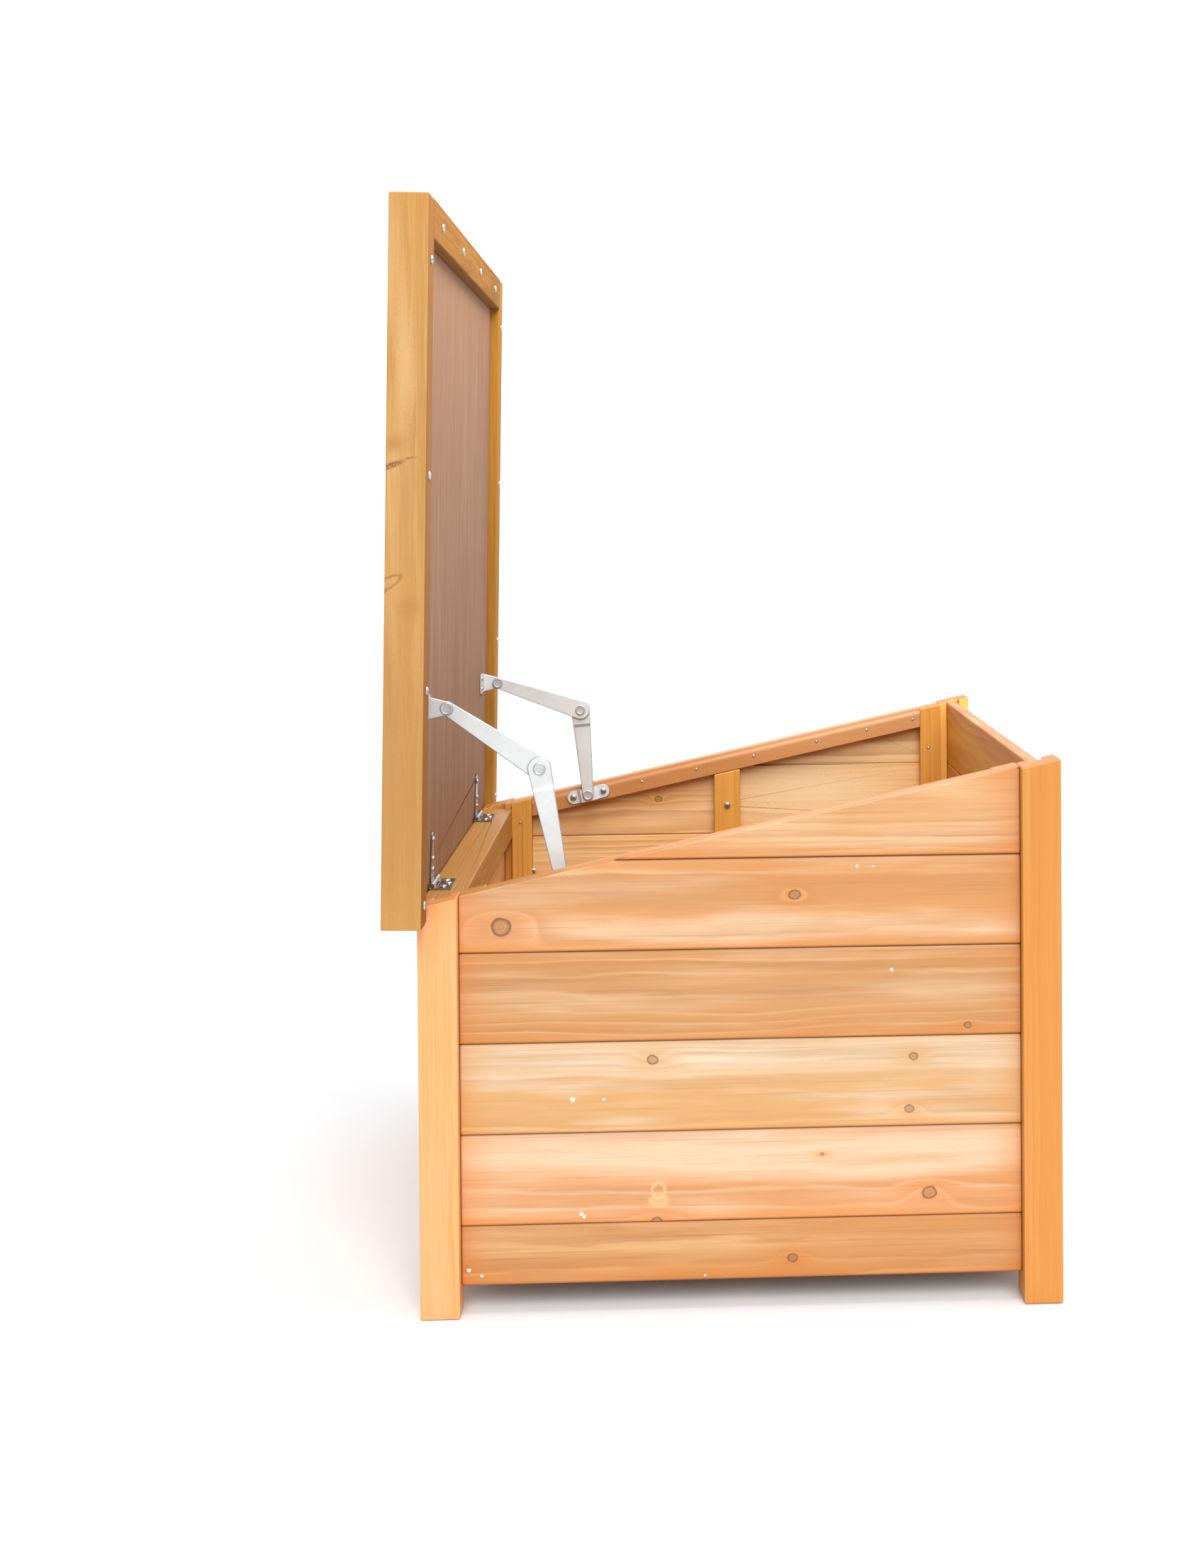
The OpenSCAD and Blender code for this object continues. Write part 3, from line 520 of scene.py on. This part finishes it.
# sheet and turned metal: clouds, smudges and fine brushed lines
def metalFinish(name, look):
    f = Finish(name)
    x, y, z = f.millimetres((0, 0, 0))
    spot = f.make("ShaderNodeCombineXYZ", {}, {0: x, 1: y, 2: z})
    cloud = f.noise(spot, *metalGrain["cloud"]).smooth(*metalThreshold["cloud"])
    speckled = f.noise(spot, *metalGrain["speckle"])
    scratch = f.noise(f.vector("MULTIPLY", spot, look["brush"]), *metalGrain["scratch"])
    smudge = f.noise(spot, *metalGrain["smudge"]).smooth(*metalThreshold["smudge"])
    colour = f.mixColour(cloud, look["light"], look["second"])
    colour = f.mixColour(smudge * look["smudge"], colour, look["dark"])
    colour = f.mixColour(scratch.smooth(*metalThreshold["scratch"]) * look["lines"], colour, look["dark"])
    rough = look["rough"] + (speckled - 0.5) * metalRelief["roughSpeckle"] + smudge * metalRelief["roughSmudge"]
    relieved = f.bump(speckled + scratch, metalRelief["strength"], metalRelief["distance"])
    return f.surface({"Metallic": look["metallic"]}, {"Base Color": colour, "Roughness": rough, "Normal": relieved})


zinc = metalFinish("zincPlate", {
    "light": (0.66, 0.69, 0.69), "second": (0.61, 0.635, 0.625), "dark": (0.43, 0.44, 0.44), "smudge": 0.25,
    "lines": 0.12, "rough": 0.52, "metallic": 0.15, "brush": (0.9, 0.9, 0.12)})
# the darker finish of worked sheet edges and of the rivets' dark steps: partly the grey of cut metal, partly painted
# shade outlining where the arms overlap
cutEdge = metalFinish("cutEdge", {
    "light": (0.40, 0.405, 0.41), "second": (0.33, 0.335, 0.34), "dark": (0.22, 0.22, 0.225), "smudge": 0.3,
    "lines": 0.2, "rough": 0.45, "metallic": 0.3, "brush": (0.9, 0.9, 0.12)})
rivetZinc = metalFinish("rivetZinc", {
    "light": (0.56, 0.59, 0.615), "second": (0.48, 0.505, 0.53), "dark": (0.32, 0.33, 0.35), "smudge": 0.3,
    "lines": 0.1, "rough": 0.36, "metallic": 0.45, "brush": (0.9, 0.9, 0.9)})
# the hinges' nickel: its dark colour is a painted reflection of dark surroundings that the white studio lacks
nickelDarkReflection = metalFinish("nickelPlate", {
    "light": (0.34, 0.32, 0.30), "second": (0.22, 0.205, 0.19), "dark": (0.10, 0.09, 0.08), "smudge": 0.5,
    "lines": 0.3, "rough": 0.22, "metallic": 1.0, "brush": (1.2, 0.3, 1.2)})
bright = metalFinish("brightSteel", {
    "light": (0.62, 0.625, 0.63), "second": (0.48, 0.48, 0.485), "dark": (0.30, 0.29, 0.28), "smudge": 0.4,
    "lines": 0.2, "rough": 0.26, "metallic": 0.85, "brush": (1.5, 1.5, 1.5)})
# painted shade: the dark finish of a screw's cross, where its recess would lie in shade
recessPaintedShade = metalFinish("recessShade", {
    "light": (0.20, 0.195, 0.19), "second": (0.12, 0.115, 0.11), "dark": (0.05, 0.05, 0.05), "smudge": 0.5,
    "lines": 0.2, "rough": 0.5, "metallic": 1.0, "brush": (1.5, 1.5, 1.5)})
for name, thing in nodes.items():
    if "arm" in name or "bracket" in name:
        dress(thing, zinc)
        thing.data.materials.append(cutEdge)
        softenEdges(thing, edges["sheet"], edgeSlot=1, segments=1, least=edges["sheetLeast"])
    elif name.startswith("hinge_") and name != "hinge_rail":
        dress(thing, nickelDarkReflection)
        softenEdges(thing, edges["hinge"])
    elif "nails" in name:
        dress(thing, bright)
print("sheet metal: done")

# how solids are measured: digits of a height, what counts as level, the part of the radius that is the full
# radius, and what a rim of few points adds to an axis's error
measure = {"digits": 5, "level": 0.01 * mm, "full": 0.99, "fewPoints": 0.01}


# separate solids of a node's mesh, each as a list of points
def islands(thing):
    work = bmesh.new()
    work.from_mesh(thing.data)
    bmesh.ops.remove_doubles(work, verts=work.verts, dist=edges["join"])
    left = dict.fromkeys(work.verts)  # keeps its order, so that every run gives the same mesh
    found = []
    while left:
        queue = [left.popitem()[0]]
        group = [queue[0]]
        while queue:
            for edge in queue.pop().link_edges:
                for v in edge.verts:
                    if v in left:
                        del left[v]
                        queue.append(v)
                        group.append(v)
        found.append([v.co.copy() for v in group])
    work.free()
    return found


# a turned shape's axis: the middle of its points, and the direction that leaves equal radii
def turnedAxis(points, guesses):
    middle = sum(points, Vector()) / len(points)
    best = None
    for axis in guesses:
        rims = {}
        for p in points:
            rims.setdefault(round((p - middle).dot(axis), measure["digits"]), []).append(p)
        rim = max(rims.values(), key=len)
        centre = sum(rim, Vector()) / len(rim)
        radii = [((p - centre) - axis * (p - centre).dot(axis)).length for p in rim]
        error = max(radii) - min(radii) + measure["fewPoints"] / len(rim)
        if best is None or error < best[0]:
            best = (error, axis, centre)
    return best[1], best[2]


# a shape turned round its own axis from radii and heights; dark steps of the profile get the second material
def turned(work, profile, place, steps, darkSteps=()):
    rings = []
    for (r, h) in profile:
        if r == 0:
            rings.append([work.verts.new(place @ Vector((0, 0, h)))])
        else:
            rings.append([work.verts.new(place @ Vector((r * math.cos(a), r * math.sin(a), h)))
                          for a in (math.tau * k / steps for k in range(steps))])
    for n, (lowRing, highRing) in enumerate(zip(rings, rings[1:])):
        for k in range(steps):
            j = (k + 1) % steps
            corners = [lowRing[k % len(lowRing)], lowRing[j % len(lowRing)],
                       highRing[j % len(highRing)], highRing[k % len(highRing)]]
            corners = list(dict.fromkeys(corners))
            if len(corners) > 2:
                face = work.faces.new(corners)
                face.smooth = True
                face.material_index = 1 if n in darkSteps else 0


# a screw's head in shares of its radius and rise: straight side, dome angles, middle, and the arms of the cross
cross = {"side": 0.2, "angles": (0.35, 0.7, 1.0, 1.25, 1.45), "middle": 0.08, "steps": 24, "armLength": 0.62,
         "armWidth": 0.15, "taper": 0.35, "lift": 0.00003}


# a domed head with a tapered cross recess, drawn as a dark cross laid just over the dome as painted shade; head and
# shank sizes come from the solid it stands for
def screw(work, place, head, rise, shank, length):
    side = cross["side"]
    dome = [(head, 0), (head, rise * side)]
    dome += [(head * math.cos(a), rise * (side + (1 - side) * math.sin(a))) for a in cross["angles"]]
    turned(work, [(shank, -length), (shank, 0)] + dome + [(head * cross["middle"], rise), (0, rise)],
           place, cross["steps"])
    armLength = head * cross["armLength"]
    armWidth = head * cross["armWidth"]
    for c, s in ((1, 0), (0, 1)):
        ridge = []
        for t in (-1, -0.5, 0, 0.5, 1):
            reach = math.sqrt(max(0, 1 - (t * armLength / head) ** 2))
            height = rise * (side + (1 - side) * reach) + cross["lift"]
            for w in (-1, 1):
                x, y = t * armLength, w * armWidth * (1 - cross["taper"] * abs(t))
                ridge.append(work.verts.new(place @ Vector((x * c - y * s, x * s + y * c, height))))
        for k in range(4):
            face = work.faces.new([ridge[2 * k], ridge[2 * k + 2], ridge[2 * k + 3], ridge[2 * k + 1]])
            face.material_index = 1


# a finished mesh becomes the piece that stands in for a node
def standIn(work, name, ending, materials, body):
    mesh = bpy.data.meshes.new(name + ending.capitalize())
    work.to_mesh(mesh)
    work.free()
    for material in materials:
        mesh.materials.append(material)
    piece = bpy.data.objects.new(name + "_" + ending, mesh)
    bpy.context.collection.objects.link(piece)
    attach(piece, body)
    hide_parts(name)


# a place at a point with its height along an axis
def frameTo(point, axis):
    return Matrix.Translation(point) @ axis.to_track_quat("Z", "Y").to_matrix().to_4x4()


# the open lid leans back by this, and its screws stand square to its lining
lidLean = math.radians(1.2)
lidOut = Vector((math.cos(lidLean), 0, -math.sin(lidLean)))
screwNodes = {"box_screws": ("box", [Vector((1, 0, 0)), Vector((0, 1, 0)), Vector((0, 0, 1))]),
              "lid_screws": ("lid", [lidOut])}
for name, (body, guesses) in screwNodes.items():
    work = bmesh.new()
    for points in islands(nodes[name]):
        axis, centre = turnedAxis(points, guesses)
        heights = [(p - centre).dot(axis) for p in points]
        radii = [((p - centre) - axis * (p - centre).dot(axis)).length for p in points]
        headAt = heights[radii.index(max(radii))]
        if abs(headAt - min(heights)) < abs(headAt - max(heights)):
            axis = -axis
            heights = [-h for h in heights]
        top, bottom = max(heights), min(heights)
        head = max(radii)
        seat = min(h for h, r in zip(heights, radii) if r > head * measure["full"])
        shank = max(r for h, r in zip(heights, radii) if h < bottom + measure["level"])
        screw(work, frameTo(centre + axis * seat, axis), head, top - seat, shank, seat - bottom)
    standIn(work, name, "cross", (bright, recessPaintedShade), body)
print("screws: done")

# rivet heads are turned with a rounded edge, a ring and a shallow dish: cap in shares of radius and head height;
# a solid's end is a head where it is wider than the shank times headed
# footDark and crownDark are the head's steps, its side and parts of its ring, that take the darker finish of cut edges
# and painted shade
rivet = {"shank": 2.5 * mm, "head": 1.2 * mm, "headed": 1.2, "steps": 48, "footDark": {4, 6, 7},
         "crownDark": {0, 1, 4},
         "cap": [(1, 0), (1, 0.5), (0.95, 0.86), (0.87, 1), (0.79, 0.97), (0.73, 0.82), (0.66, 0.78), (0.3, 0.74),
                 (0, 0.73)]}
rivetNodes = {"box_pivot_rivets": "box", "lid_pivot_rivets": "lid"}
for side in ("left", "right"):
    for level in ("lower", "upper"):
        rivetNodes[f"{level}_rivet_{side}"] = f"{level}_arm_{side}"
for name, body in rivetNodes.items():
    work = bmesh.new()
    for points in islands(nodes[name]):
        axis, centre = turnedAxis(points, [Vector((0, 1, 0))])
        reach = {}
        for p in points:
            away = p - centre
            level = round(away.y, measure["digits"])
            reach[level] = max(math.hypot(away.x, away.z), reach.get(level, 0))
        low, high = min(reach), max(reach)
        head = max(reach.values())
        cap = [(r * head, h * rivet["head"]) for (r, h) in rivet["cap"]]
        foot = [(0, low)]
        crown = [(0, high)]
        dark = set()
        least = rivet["shank"] * rivet["headed"]
        headBelow, headAbove = reach[low] > least, reach[high] > least
        if headBelow:
            low += rivet["head"]
            foot = [(r, low - h) for (r, h) in reversed(cap)]
            dark |= rivet["footDark"]
        if headAbove:
            high -= rivet["head"]
            crown = [(r, high + h) for (r, h) in cap]
        shank = [(rivet["shank"], low), (rivet["shank"], high)]
        if headAbove:
            dark |= {len(foot + shank) + k for k in rivet["crownDark"]}
        turned(work, foot + shank + crown, frameTo(centre, axis), rivet["steps"], dark)
    bmesh.ops.recalc_face_normals(work, faces=work.faces)
    standIn(work, name, "turned", (rivetZinc, cutEdge), body)
print("rivets: done")

# one sheet of pale paper: the floor, a curve and a wall well behind the box
paper = {"half": 26, "front": -30, "back": 10, "curve": 3, "wall": 12, "steps": 10, "drop": 0.5 * mm,
         "colour": (0.93, 0.955, 0.98, 1), "rough": 0.9}
bend = [(paper["back"] + paper["curve"] * math.sin(a), paper["curve"] * (1 - math.cos(a)))
        for a in (math.radians(90 * k / paper["steps"]) for k in range(paper["steps"] + 1))]
line = [(paper["front"], 0)] + bend + [(paper["back"] + paper["curve"], paper["wall"])]
paperMesh = bpy.data.meshes.new("studioPaper")
paperMesh.from_pydata([(x, y, z) for (y, z) in line for x in (-paper["half"], paper["half"])], [],
                      [(2 * k, 2 * k + 1, 2 * k + 3, 2 * k + 2) for k in range(len(line) - 1)])
floor = bpy.data.objects.new("studioPaper", paperMesh)
floor.location.z = -paper["drop"]
bpy.context.collection.objects.link(floor)
paperMesh.materials.append(
    Finish("paper").surface({"Base Color": paper["colour"], "Roughness": paper["rough"]}, {}))

# white walls all round: a little dimmer as light than they look
walls = {"light": 0.72, "seen": 1.0, "colour": (1, 1, 1, 1)}
world = bpy.data.worlds.new("studio")
room = Finish("studio", world)
lighting = room.make("ShaderNodeBackground", {}, {"Color": walls["colour"], "Strength": walls["light"]})
seen = room.make("ShaderNodeBackground", {}, {"Color": walls["colour"], "Strength": walls["seen"]})
view = room.make("ShaderNodeLightPath", {}, {}, "Is Camera Ray")
either = room.make("ShaderNodeMixShader", {}, {0: view, 1: lighting, 2: seen})
room.make("ShaderNodeOutputWorld", {}, {"Surface": either})
bpy.context.scene.world = world

# a broad soft sun from over the viewer's shoulder, so its shadow falls behind the box
sunSet = {"towards": (0.10, -1.0, 0.85), "strength": 2.0, "spread": 38}
sun = bpy.data.lights.new("softbox", "SUN")
sun.energy = sunSet["strength"]
sun.angle = math.radians(sunSet["spread"])
sunThing = bpy.data.objects.new("softbox", sun)
sunThing.rotation_euler = (-Vector(sunSet["towards"])).to_track_quat("-Z", "Y").to_euler()
bpy.context.collection.objects.link(sunThing)

# a small softbox above the open box lights its inside
topSet = {"place": (0.10, -0.10, 1.25), "aim": (0.0, 0.2, 0.3), "size": 0.5, "power": 9}
top = bpy.data.lights.new("topBox", "AREA")
top.size = topSet["size"]
top.energy = topSet["power"]
topThing = bpy.data.objects.new("topBox", top)
topThing.location = topSet["place"]
topThing.rotation_euler = (Vector(topSet["aim"]) - Vector(topSet["place"])).to_track_quat("-Z", "Y").to_euler()
topThing.visible_camera = False
bpy.context.collection.objects.link(topThing)

cameraSet = {"place": (-0.0333, -1.6984, 0.6186), "turn": (89.108, 0.390, -2.767), "lens": 57.47,
             "sensor": 36, "shift": (-0.1516, -0.2091), "farthest": 60}
camera = bpy.data.cameras.new("camera")
camera.lens = cameraSet["lens"]
camera.sensor_fit = "HORIZONTAL"
camera.sensor_width = cameraSet["sensor"]
camera.shift_x, camera.shift_y = cameraSet["shift"]
camera.clip_end = cameraSet["farthest"]
cameraThing = bpy.data.objects.new("camera", camera)
cameraThing.location = cameraSet["place"]
cameraThing.rotation_euler = [math.radians(a) for a in cameraSet["turn"]]
bpy.context.collection.objects.link(cameraThing)
bpy.context.scene.camera = cameraThing
bpy.context.scene.view_settings.view_transform = "Standard"
print("studio: done")
